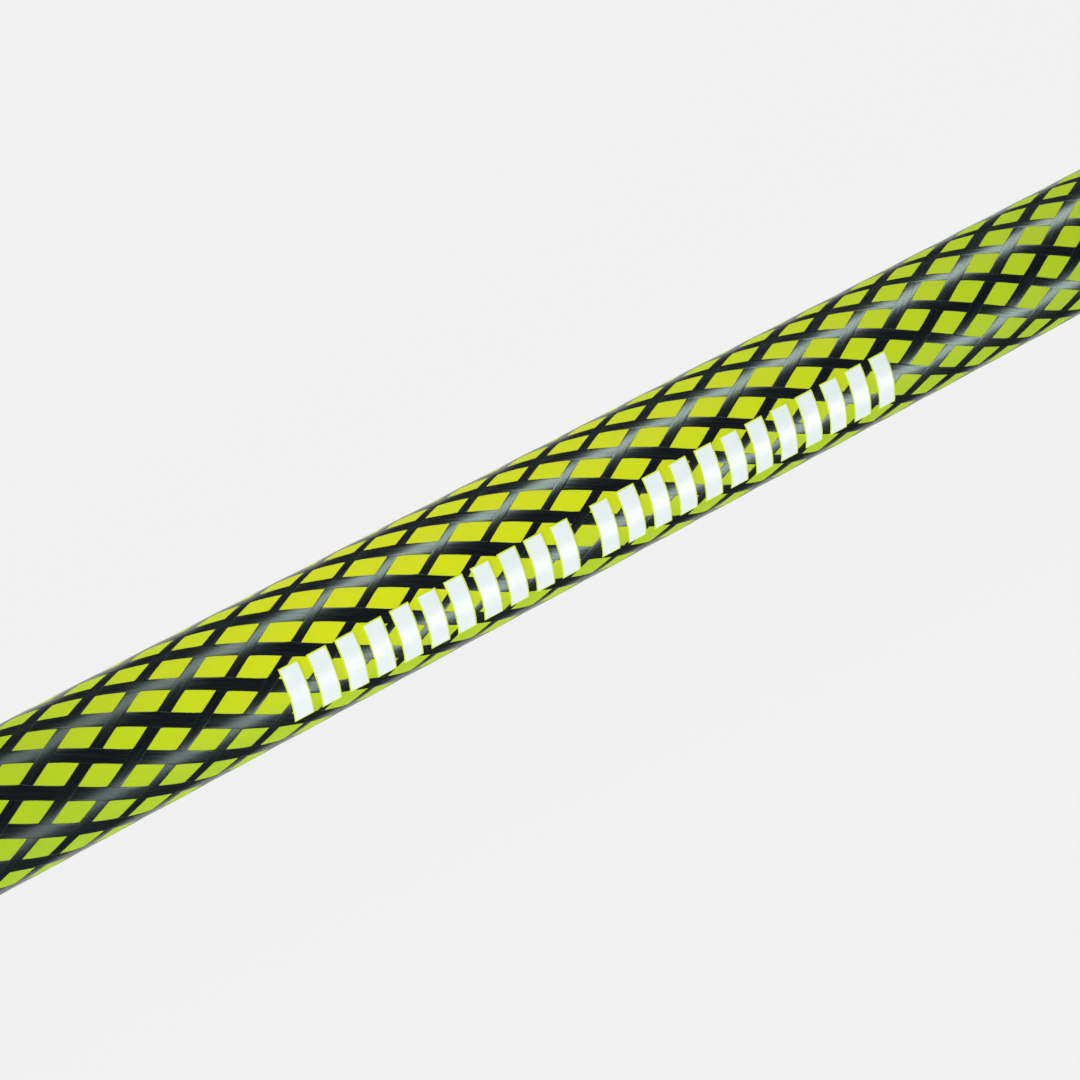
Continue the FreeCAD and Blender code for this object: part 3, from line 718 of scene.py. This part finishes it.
# Along the side, with its fine ring groove, and in to the grip: x, radius over CAP_RADIUS.
CAP_SIDE = ((-1.1, 0.0), (-0.85, -0.25), (-0.6, 0.0), (0.0, 0.0), (0.0, -2.8))


def cap_depth(radius, angles):
    """How deep the butt cap's end lies below its flat, at one radius: a ring groove, then a dished middle
    with radial ribs that stand up in it, and a rounded rim."""
    groove = smooth_step(abs(radius - CAP_GROOVE_RADIUS), *CAP_GROOVE_WALL)
    dish = smooth_step(radius, *CAP_DISH_WALL)
    off_rib = np.abs(np.sin(angles * CAP_RIBS / 2)) * 2 / CAP_RIBS * radius
    rib_ends = smooth_step(radius, *CAP_RIB_INNER_END) * smooth_step(radius, *CAP_RIB_OUTER_END)
    raised = smooth_step(off_rib, *CAP_RIB_WALL) * rib_ends + smooth_step(radius, *CAP_HUB_WALL)
    past_flat = max(radius - CAP_FLAT_RADIUS, 0.0)
    rim = CAP_RIM - math.sqrt(max(CAP_RIM**2 - past_flat**2, 0.0))
    return CAP_GROOVE_DEPTH * groove + CAP_DISH_DEPTH * dish - CAP_RIB_HEIGHT * raised + rim


def build_butt_cap():
    """The moulded cap: its end, its side with a fine ring groove, and the seat against the grip."""
    angles = full_circle(CAP_SEGMENTS)
    on_flat = np.linspace(CAP_INNER_RING, CAP_FLAT_RADIUS, CAP_RINGS)
    on_rim = CAP_FLAT_RADIUS + CAP_RIM * np.sin(np.linspace(0, math.pi / 2, CAP_RIM_RINGS))
    rings = []
    for radius in (*on_flat, *on_rim[1:]):
        rings.append(round_axis(cap_depth(radius, angles) - CAP_THICKNESS, radius, angles))
    for x, over in CAP_SIDE:
        rings.append(round_axis(x, CAP_RADIUS + over, angles))
    middle = [cap_depth(0.0, angles).min() - CAP_THICKNESS, 0.0, 0.0]
    points = np.vstack(rings + [middle])
    faces = grid_faces(len(rings), CAP_SEGMENTS, closed=True)
    faces += [((j + 1) % CAP_SEGMENTS, j, len(points) - 1) for j in range(CAP_SEGMENTS)]
    cap = mesh_piece("butt_cap_moulding", points, faces)
    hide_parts("butt_cap")
    return cap


# ---- materials ----

MILLIMETRES = (1000.0, 1000.0, 1000.0)
AS_IT_IS = (1.0, 1.0, 1.0)


class Finish:
    """A material with a Principled shader. Values that are the same all over go straight on its sockets."""

    def __init__(self, name, **uniform):
        self.material = bpy.data.materials.new(name)
        self.material.use_nodes = True
        self.tree = self.material.node_tree
        self.shader = self.tree.nodes["Principled BSDF"]
        for socket, value in uniform.items():
            self.shader.inputs[socket.replace("_", " ")].default_value = value

    def feed(self, socket, value):
        """Links an output to an input, or sets the input to a plain value."""
        if isinstance(value, bpy.types.NodeSocket):
            self.tree.links.new(value, socket)
        else:
            socket.default_value = value

    def node(self, kind, inputs=None, **settings):
        made = self.tree.nodes.new(kind)
        for key, value in settings.items():
            setattr(made, key, value)
        for key, value in (inputs or {}).items():
            self.feed(made.inputs[key], value)
        return made

    def place(self, source, scale):
        """Object or UV coordinates, multiplied by the scale along each axis."""
        coordinates = self.node("ShaderNodeTexCoord").outputs[source]
        inputs = {"Vector": coordinates, "Scale": scale}
        return self.node("ShaderNodeMapping", inputs).outputs["Vector"]

    @cached_property
    def here(self):
        """Object coordinates in millimetres."""
        return self.place("Object", MILLIMETRES)

    def noise(self, scale, detail=3.0, place=None):
        if place is None:
            place = self.here
        inputs = {"Vector": place, "Scale": scale, "Detail": detail, "Roughness": 0.55}
        return self.node("ShaderNodeTexNoise", inputs).outputs["Fac"]

    def cells(self, scale, feature="F1"):
        inputs = {"Vector": self.here, "Scale": scale}
        return self.node("ShaderNodeTexVoronoi", inputs, feature=feature).outputs["Distance"]

    def scaled(self, value, low, high, from_low=0.0, from_high=1.0):
        """The value's way between two bounds, as the same way between low and high, and no further."""
        inputs = {"Value": value, "From Min": from_low, "From Max": from_high, "To Min": low, "To Max": high}
        return self.node("ShaderNodeMapRange", inputs).outputs["Result"]

    def math(self, operation, *values):
        made = self.node("ShaderNodeMath", operation=operation)
        for socket, value in zip(made.inputs, values):
            self.feed(socket, value)
        return made.outputs[0]

    def either(self, first, second):
        """How much is covered by one share or the other: first * (1 - second) + second."""
        return self.math("MULTIPLY_ADD", first, self.math("SUBTRACT", 1.0, second), second)

    def wave(self, value, period):
        return self.math("SINE", self.math("MULTIPLY", value, 2 * math.pi / period))

    def axes(self, source, scale):
        """The first two coordinates of a place, one by one."""
        parts = self.node("ShaderNodeSeparateXYZ", {"Vector": self.place(source, scale)})
        return parts.outputs["X"], parts.outputs["Y"]

    def ramp(self, value, stops):
        made = self.node("ShaderNodeValToRGB", {"Fac": value})
        elements = made.color_ramp.elements
        while len(elements) < len(stops):
            elements.new(0.5)
        for element, (position, colour) in zip(elements, stops):
            element.position = position
            element.color = (*colour, 1.0)
        return made.outputs["Color"]

    def grey_ramp(self, value, stops):
        return self.ramp(value, [(position, (level,) * 3) for position, level in stops])

    def mix(self, share, first, second):
        made = self.node("ShaderNodeMix", data_type="RGBA")
        factor, _, _, _, _, _, colour_a, colour_b, *_ = made.inputs
        self.feed(factor, share)
        for socket, colour in ((colour_a, first), (colour_b, second)):
            self.feed(socket, (*colour, 1.0) if isinstance(colour, tuple) else colour)
        return made.outputs[2]

    def bump(self, height, distance, strength, under=None):
        inputs = {"Height": height, "Distance": distance * MM, "Strength": strength}
        if under is not None:
            inputs["Normal"] = under
        return self.node("ShaderNodeBump", inputs).outputs["Normal"]

    def done(self, colour, roughness, normal=None):
        """The finished material."""
        self.feed(self.shader.inputs["Base Color"], colour)
        self.feed(self.shader.inputs["Roughness"], roughness)
        if normal is not None:
            self.feed(self.shader.inputs["Normal"], normal)
        return self.material


YELLOW_LIME = (0.615, 0.668, 0.010)
MIDDLE_LIME = (0.45, 0.58, 0.013)
# The darkest, greenest lime: partly the ink's tone, partly painted shade.
SHADED_GREEN_LIME = (0.31, 0.465, 0.018)
MOTTLE_LIME = (0.47, 0.56, 0.008)
# How green and how dark the lime is, partly the ink's own tone and partly painted shade: darker on the
# heel side, against the light of the near soft box, and darker towards both ends. Along the stick the
# positions are shares of the way between two stations, in metres; round it they are turns.
GREEN_SHADE_STATIONS = (0.28, 0.60)
GREEN_SHADE_ALONG = ((0.12, 0.75), (0.22, 0.28), (0.32, 0.0), (0.50, 0.04), (0.70, 0.33), (0.88, 0.75))
GREEN_SHADE_AROUND = (
    (0.01, 0.05), (0.08, 0.16), (0.127, 0.36), (0.175, 0.78),
    (0.56, 0.85), (0.82, 0.25), (0.94, 0.0),
)


def lime_coating():
    """Flat ink: yellow lime on the middle of the shaft's back, going over to a darker green lime towards the
    heel side and both ends, partly the ink's own tone and partly painted shade; with a faint mottle and
    orange peel."""
    finish = Finish("lime_coating", Specular_IOR_Level=0.14)
    station, turn = finish.axes("UV", AS_IT_IS)
    # Greener here also means darker: painted shade on the heel side and towards both ends, over the ink's
    # own tone.
    along = finish.grey_ramp(finish.scaled(station, 0.0, 1.0, *GREEN_SHADE_STATIONS), GREEN_SHADE_ALONG)
    green = finish.either(along, finish.grey_ramp(turn, GREEN_SHADE_AROUND))
    colour = finish.ramp(green, ((0.0, YELLOW_LIME), (0.5, MIDDLE_LIME), (1.0, SHADED_GREEN_LIME)))
    mottle = finish.scaled(finish.noise(0.35, 4.0), 0.0, 0.22, 0.35, 0.7)
    return finish.done(
        finish.mix(mottle, colour, MOTTLE_LIME),
        finish.scaled(finish.noise(1.4), 0.45, 0.60),
        finish.bump(finish.noise(2.6, 4.0), 0.015, 0.4),
    )


def carbon_tow():
    """Black fibre under a satin clear coat: streaks run along the tow and catch the light."""
    finish = Finish("carbon_tow", Specular_IOR_Level=0.98, Specular_Tint=(0.77, 1.0, 0.93, 1.0))
    streaks = finish.noise(1.0, 4.0, finish.place("UV", (0.12, 3.5, 1.0)))
    fibres = finish.noise(1.0, 2.0, finish.place("UV", (0.06, 14.0, 1.0)))
    paler = finish.scaled(streaks, 0.0, 1.0, 0.4, 0.75)
    coarse = finish.bump(streaks, 0.012, 0.5)
    return finish.done(
        finish.mix(paler, (0.0050, 0.0064, 0.0078), (0.0092, 0.0112, 0.0130)),
        finish.scaled(streaks, 0.20, 0.32, 0.3, 0.7),
        finish.bump(fibres, 0.004, 0.5, coarse),
    )


def white_ink():
    """Slightly cool white print with a thin gloss and faint clouds."""
    finish = Finish("white_ink", Specular_IOR_Level=0.5, Coat_Weight=0.2, Coat_Roughness=0.12)
    clouds = finish.scaled(finish.noise(0.3), 0.0, 0.5, 0.4, 0.7)
    return finish.done(
        finish.mix(clouds, (0.76, 0.81, 0.82), (0.66, 0.745, 0.75)),
        finish.scaled(finish.noise(1.2), 0.25, 0.38),
        finish.bump(finish.noise(2.2), 0.012, 0.4),
    )


def lime_border():
    """Lime print round the white bars."""
    finish = Finish("lime_border", Specular_IOR_Level=0.32)
    return finish.done(
        finish.mix(finish.noise(0.8), (0.55, 0.68, 0.015), (0.64, 0.74, 0.03)),
        finish.scaled(finish.noise(1.4), 0.45, 0.6),
    )


def toe_resin():
    """Black resin, moulded over the toe and polished."""
    finish = Finish("toe_resin", Specular_IOR_Level=0.5, Coat_Weight=0.35, Coat_Roughness=0.1)
    grain = finish.noise(1.1, 6.0)
    return finish.done(
        finish.mix(grain, (0.007, 0.008, 0.009), (0.028, 0.03, 0.032)),
        finish.scaled(finish.noise(0.25), 0.24, 0.42),
        finish.bump(grain, 0.03, 0.35),
    )


HOLE_SPACING = 2.9
HOLE_RADII = (0.36, 0.52)  # of the bottom and of the rim


def grip_cushion():
    """Matt black polyurethane with a leather grain and staggered rows of small punched holes, painted
    near black as the shade inside them.
    """
    finish = Finish("grip_cushion", Specular_IOR_Level=0.38, Sheen_Weight=0.06, Sheen_Roughness=0.5)
    along, across = finish.axes("UV", AS_IT_IS)
    row = finish.math("FLOOR", finish.math("DIVIDE", across, HOLE_SPACING))
    shifted = finish.math("MULTIPLY_ADD", finish.math("MODULO", row, 2.0), HOLE_SPACING / 2, along)
    off_x = finish.math("PINGPONG", shifted, HOLE_SPACING / 2)
    off_y = finish.math("SUBTRACT", finish.math("MODULO", across, HOLE_SPACING), HOLE_SPACING / 2)
    square = finish.math("MULTIPLY_ADD", off_x, off_x, finish.math("MULTIPLY", off_y, off_y))
    from_hole = finish.math("SQRT", square)
    solid = finish.scaled(from_hole, 0.0, 1.0, *HOLE_RADII)
    grain = finish.cells(1.1, "SMOOTH_F1")
    wear = finish.noise(0.05)
    leather = finish.mix(wear, (0.012, 0.0125, 0.0135), (0.032, 0.033, 0.035))
    creased = finish.bump(grain, 0.10, 0.45)
    return finish.done(
        # Near black in the holes: painted shade in the recesses.
        finish.mix(solid, (0.002, 0.002, 0.002), leather),
        finish.scaled(wear, 0.58, 0.78, 0.3, 0.7),
        finish.bump(solid, 0.45, 0.9, creased),
    )


TAPE_WARP = 0.62  # distance from thread to thread
TAPE_WEFT = 0.55


def elastic_tape():
    """Black elastic tape: a rib of threads round the handle, crossed by finer ones, with painted shade in
    the dips between them and painted light on their tops.
    """
    finish = Finish("elastic_tape", Specular_IOR_Level=0.4, Sheen_Weight=0.35, Sheen_Roughness=0.35)
    along, around = finish.axes("UV", AS_IT_IS)
    warp = finish.wave(along, TAPE_WARP)
    weft = finish.wave(around, TAPE_WEFT)
    threaded = finish.math("MULTIPLY", warp, finish.math("MULTIPLY_ADD", weft, 0.6, 0.7))
    level = finish.scaled(threaded, 0.0, 1.0, -1.0, 1.0)
    clouds = finish.noise(0.3, 4.0)
    # Darker where the threads dip, lighter where they stand up: painted shade and painted light of the rib.
    threads = finish.mix(level, (0.006, 0.0063, 0.0068), (0.030, 0.031, 0.033))
    dust = finish.scaled(clouds, 0.0, 0.6, 0.35, 0.7)
    return finish.done(
        finish.mix(dust, threads, (0.020, 0.021, 0.022)),
        finish.scaled(clouds, 0.5, 0.7),
        finish.bump(level, 0.12, 0.9),
    )


def moulded_rubber(name, dark, light, roughness):
    """Rubber with broad clouds of colour and a fine moulded grain."""
    finish = Finish(name, Specular_IOR_Level=0.42)
    grain = finish.noise(1.8, 6.0)
    return finish.done(
        finish.mix(finish.noise(0.18), dark, light),
        finish.scaled(grain, roughness - 0.07, roughness + 0.07),
        finish.bump(grain, 0.06, 0.4),
    )


def woven(name, dark, light, spacing, roughness):
    """Cloth set in resin, or plain tape: two sets of threads at right angles, with painted shade where the
    weave dips and painted light where it stands up.
    """
    finish = Finish(name, Specular_IOR_Level=0.5)
    waves = [finish.wave(axis, 2 * spacing) for axis in finish.axes("Object", MILLIMETRES)]
    weave = finish.scaled(finish.math("MULTIPLY", *waves), 0.0, 1.0, -0.3, 0.3)
    return finish.done(
        # Lighter where the weave stands up, darker where it dips: painted light and shade of the weave.
        finish.mix(weave, dark, light),
        finish.scaled(weave, roughness, roughness + 0.15),
        finish.bump(weave, 0.05, 0.4),
    )


def rigid_foam():
    """Cream foam with cells of about half a millimetre."""
    finish = Finish("rigid_foam", Specular_IOR_Level=0.25)
    cells = finish.cells(1.6)
    return finish.done(
        finish.mix(cells, (0.62, 0.55, 0.40), (0.80, 0.74, 0.60)),
        finish.scaled(cells, 0.75, 0.9),
        finish.bump(cells, 0.15, 0.6),
    )


def dress(material, *pieces):
    for piece in pieces:
        piece.data.materials.append(material)


def dress_nodes(material, *nodes):
    """A new finish for CAD nodes that are carried over."""
    for node in nodes:
        for slot in frame["nodes"][node].material_slots:
            slot.material = material


# ---- studio and camera ----


def look_along(position, forward, up):
    """A rotation and position whose local -Z is forward and local Y is as near up as it can be."""
    back = -Vector(forward).normalized()
    right = Vector(up).cross(back).normalized()
    true_up = back.cross(right)
    turn = Matrix((right, true_up, back)).transposed().to_4x4()
    return Matrix.Translation(position) @ turn


CAMERA_STATION = 205.44  # the point of the shaft's axis that the camera stands over
CAMERA_DISTANCE = 555.786
# The shaft's direction, and the one from the camera square to the shaft, as the camera sees them: x to
# the right, y down, z forward.
SHAFT_SEEN = (0.81770, -0.43156, 0.38094)
SIGHT_SEEN = (-0.33908, 0.17366, 0.92459)

# The lights stand at one distance from the shaft's axis, at angles in degrees from straight up towards
# the heel side. The strips make the two highlights: name, angle, width, angle of its fill, colour.
LIGHT_DISTANCE = 900.0
STRIPS = (
    ("far", -47.0, 335.0, -40.0, (1.0, 1.0, 0.97)),
    ("near", 70.0, 315.0, 62.0, (0.97, 1.0, 1.0)),
)
STRIP_PARTS = (("head", 640.0, 1770.0, 5.8), ("butt", -830.0, 640.0, 1.6))  # start, end, radiance
FILL_STATION = -700.0
FILL_TARGET = 470.0
FILL_SIZE = (1200.0, 900.0)
FILL_RADIANCE = 5.8

PAPER_WHITE = 0.887  # the floor's level in the picture, in linear light
FLOOR_GLOW = 0.862
FLOOR_PAPER = 0.022
FLOOR_HALF_SIZE = 6.0  # metres
FLOOR_DROP = 0.0002  # metres
# Name, side, distance of the inner edge from the shaft's axis.
FLAGS = (("far_flag", 1, 60.0), ("near_flag", -1, 30.0))
FLAG_STATIONS = (-300.0, 1700.0)
FLAG_OUTER_EDGE = 900.0
FLAG_HEIGHT = 0.0005  # metres


def handle_point(x, angle, distance):
    """A point in metres at a station, an angle and a distance from the shaft's axis."""
    return Vector(to_row(round_axis(x, distance, math.radians(angle))))


def add_soft_box(name, station, angle, target, size, radiance, colour):
    """A soft box at a station and an angle that faces another station of the shaft's axis. Its size is
    its length along the shaft and its width."""
    light = bpy.data.lights.new(name, "AREA")
    light.shape = "RECTANGLE"
    light.size, light.size_y = size[0] * MM, size[1] * MM
    light.energy = radiance * math.pi * light.size * light.size_y
    light.color = colour
    lamp = add_object(name, light)
    position = handle_point(station, angle, LIGHT_DISTANCE)
    forward = handle_point(target, 0.0, 0.0) - position
    lamp.matrix_world = look_along(position, forward, forward.cross(ALONG))
    lamp.visible_camera = False
    return lamp


def add_lights():
    """For each side of the shaft, a strip in two parts and a broad fill that reflections don't show."""
    for name, angle, width, fill_angle, colour in STRIPS:
        for part, start, end, radiance in STRIP_PARTS:
            middle = (start + end) / 2
            add_soft_box(f"{name}_{part}", middle, angle, middle, (end - start, width), radiance, colour)
        place = (FILL_STATION, fill_angle, FILL_TARGET)
        fill = add_soft_box(f"{name}_fill", *place, FILL_SIZE, FILL_RADIANCE, colour)
        fill.visible_glossy = False


def add_card(name, corners, material):
    """A flat card on the stage, from its four corners in metres."""
    mesh = bpy.data.meshes.new(name)
    mesh.from_pydata(corners, [], [(0, 1, 2, 3)])
    mesh.materials.append(material)
    card = add_object(name, mesh)
    return card


def add_floor():
    """A pale floor that gives most of its own light, so that the stick throws only a faint shadow."""
    material = bpy.data.materials.new("floor_paper")
    material.use_nodes = True
    nodes, links = material.node_tree.nodes, material.node_tree.links
    nodes.clear()
    glow = nodes.new("ShaderNodeEmission")
    glow.inputs["Strength"].default_value = FLOOR_GLOW
    paper = nodes.new("ShaderNodeBsdfDiffuse")
    paper.inputs["Color"].default_value = (FLOOR_PAPER, FLOOR_PAPER, FLOOR_PAPER, 1.0)
    total = nodes.new("ShaderNodeAddShader")
    output = nodes.new("ShaderNodeOutputMaterial")
    links.new(glow.outputs[0], total.inputs[0])
    links.new(paper.outputs[0], total.inputs[1])
    links.new(total.outputs[0], output.inputs["Surface"])
    ends = ((-1, -1), (1, -1), (1, 1), (-1, 1))
    add_card("floor", [(x * FLOOR_HALF_SIZE, y * FLOOR_HALF_SIZE, -FLOOR_DROP) for x, y in ends], material)


def add_flags():
    """Two unseen black cards on the floor beside the stick, which take its shine off the shaft's sides."""
    material = Finish("flag_card", Base_Color=(0.01, 0.01, 0.01, 1.0), Roughness=1.0).material
    start, end = FLAG_STATIONS
    for name, side, inner_edge in FLAGS:
        inner, outer = side * inner_edge, side * FLAG_OUTER_EDGE
        corners = to_row([(start, inner, 0), (end, inner, 0), (end, outer, 0), (start, outer, 0)])
        corners[:, 2] = FLAG_HEIGHT
        flag = add_card(name, corners.tolist(), material)
        flag.visible_camera = False
        flag.visible_diffuse = False
        flag.visible_shadow = False


def add_world():
    """A pale surround for the camera that gives no light: the soft boxes and the floor do."""
    world = bpy.data.worlds.new("studio")
    bpy.context.scene.world = world
    world.use_nodes = True
    background = world.node_tree.nodes["Background"]
    background.inputs["Color"].default_value = (1.0, 1.0, 1.0, 1.0)
    background.inputs["Strength"].default_value = PAPER_WHITE
    world.cycles_visibility.diffuse = False
    world.cycles_visibility.glossy = False


def add_camera():
    """Over the shaft, close to straight down, with the stick running from the lower left, up, to the
    right and away."""
    seen = np.array([SHAFT_SEEN, SIGHT_SEEN, np.cross(SHAFT_SEEN, SIGHT_SEEN)])
    sight = -(UP * math.cos(FACING * 2 * math.pi) - SIDE * math.sin(FACING * 2 * math.pi))
    real = np.array([ALONG, sight, ALONG.cross(sight)])
    _, down, forward = (real.T @ seen).T
    camera = bpy.data.cameras.new("camera")
    camera.sensor_width = 36.0
    camera.lens = 100.0
    camera.clip_start = 0.01
    camera.clip_end = 50.0
    holder = add_object("camera", camera)
    position = handle_point(CAMERA_STATION, 0.0, 0.0) - sight * CAMERA_DISTANCE * MM
    holder.matrix_world = look_along(position, Vector(forward), -Vector(down))
    bpy.context.scene.camera = holder


# ---- the whole scene ----

add_camera()

dress(lime_coating(), build_skin())
dress(carbon_tow(), *build_tows())
dress(toe_resin(), build_toe_coat())
mark_borders, marks = build_marks()
dress(lime_border(), mark_borders)
dress(white_ink(), marks)
dress(grip_cushion(), build_grip_wrap())
dress(elastic_tape(), build_finishing_tape())
dress(moulded_rubber("collar_rubber", (0.43, 0.54, 0.012), (0.52, 0.63, 0.02), 0.5), build_collar())
dress(moulded_rubber("cap_moulding", (0.010, 0.011, 0.012), (0.026, 0.027, 0.029), 0.45), build_butt_cap())

bare_laminate = woven("bare_laminate", (0.008, 0.009, 0.010), (0.035, 0.037, 0.040), 1.0, 0.30)
dress_nodes(bare_laminate, "laminate_shell", "inner_tube_toe_side", "inner_tube_heel_side")
dress_nodes(woven("aramid_cloth", (0.50, 0.36, 0.07), (0.72, 0.58, 0.20), 0.8, 0.45), "aramid_liner")
dress_nodes(rigid_foam(), "head_core", "handle_foam")
dress_nodes(woven("underlay_tape", (0.45, 0.45, 0.42), (0.68, 0.68, 0.64), 0.5, 0.6), "grip_underlay")

add_floor()
add_flags()
add_world()
add_lights()
bpy.context.scene.view_settings.view_transform = "Standard"
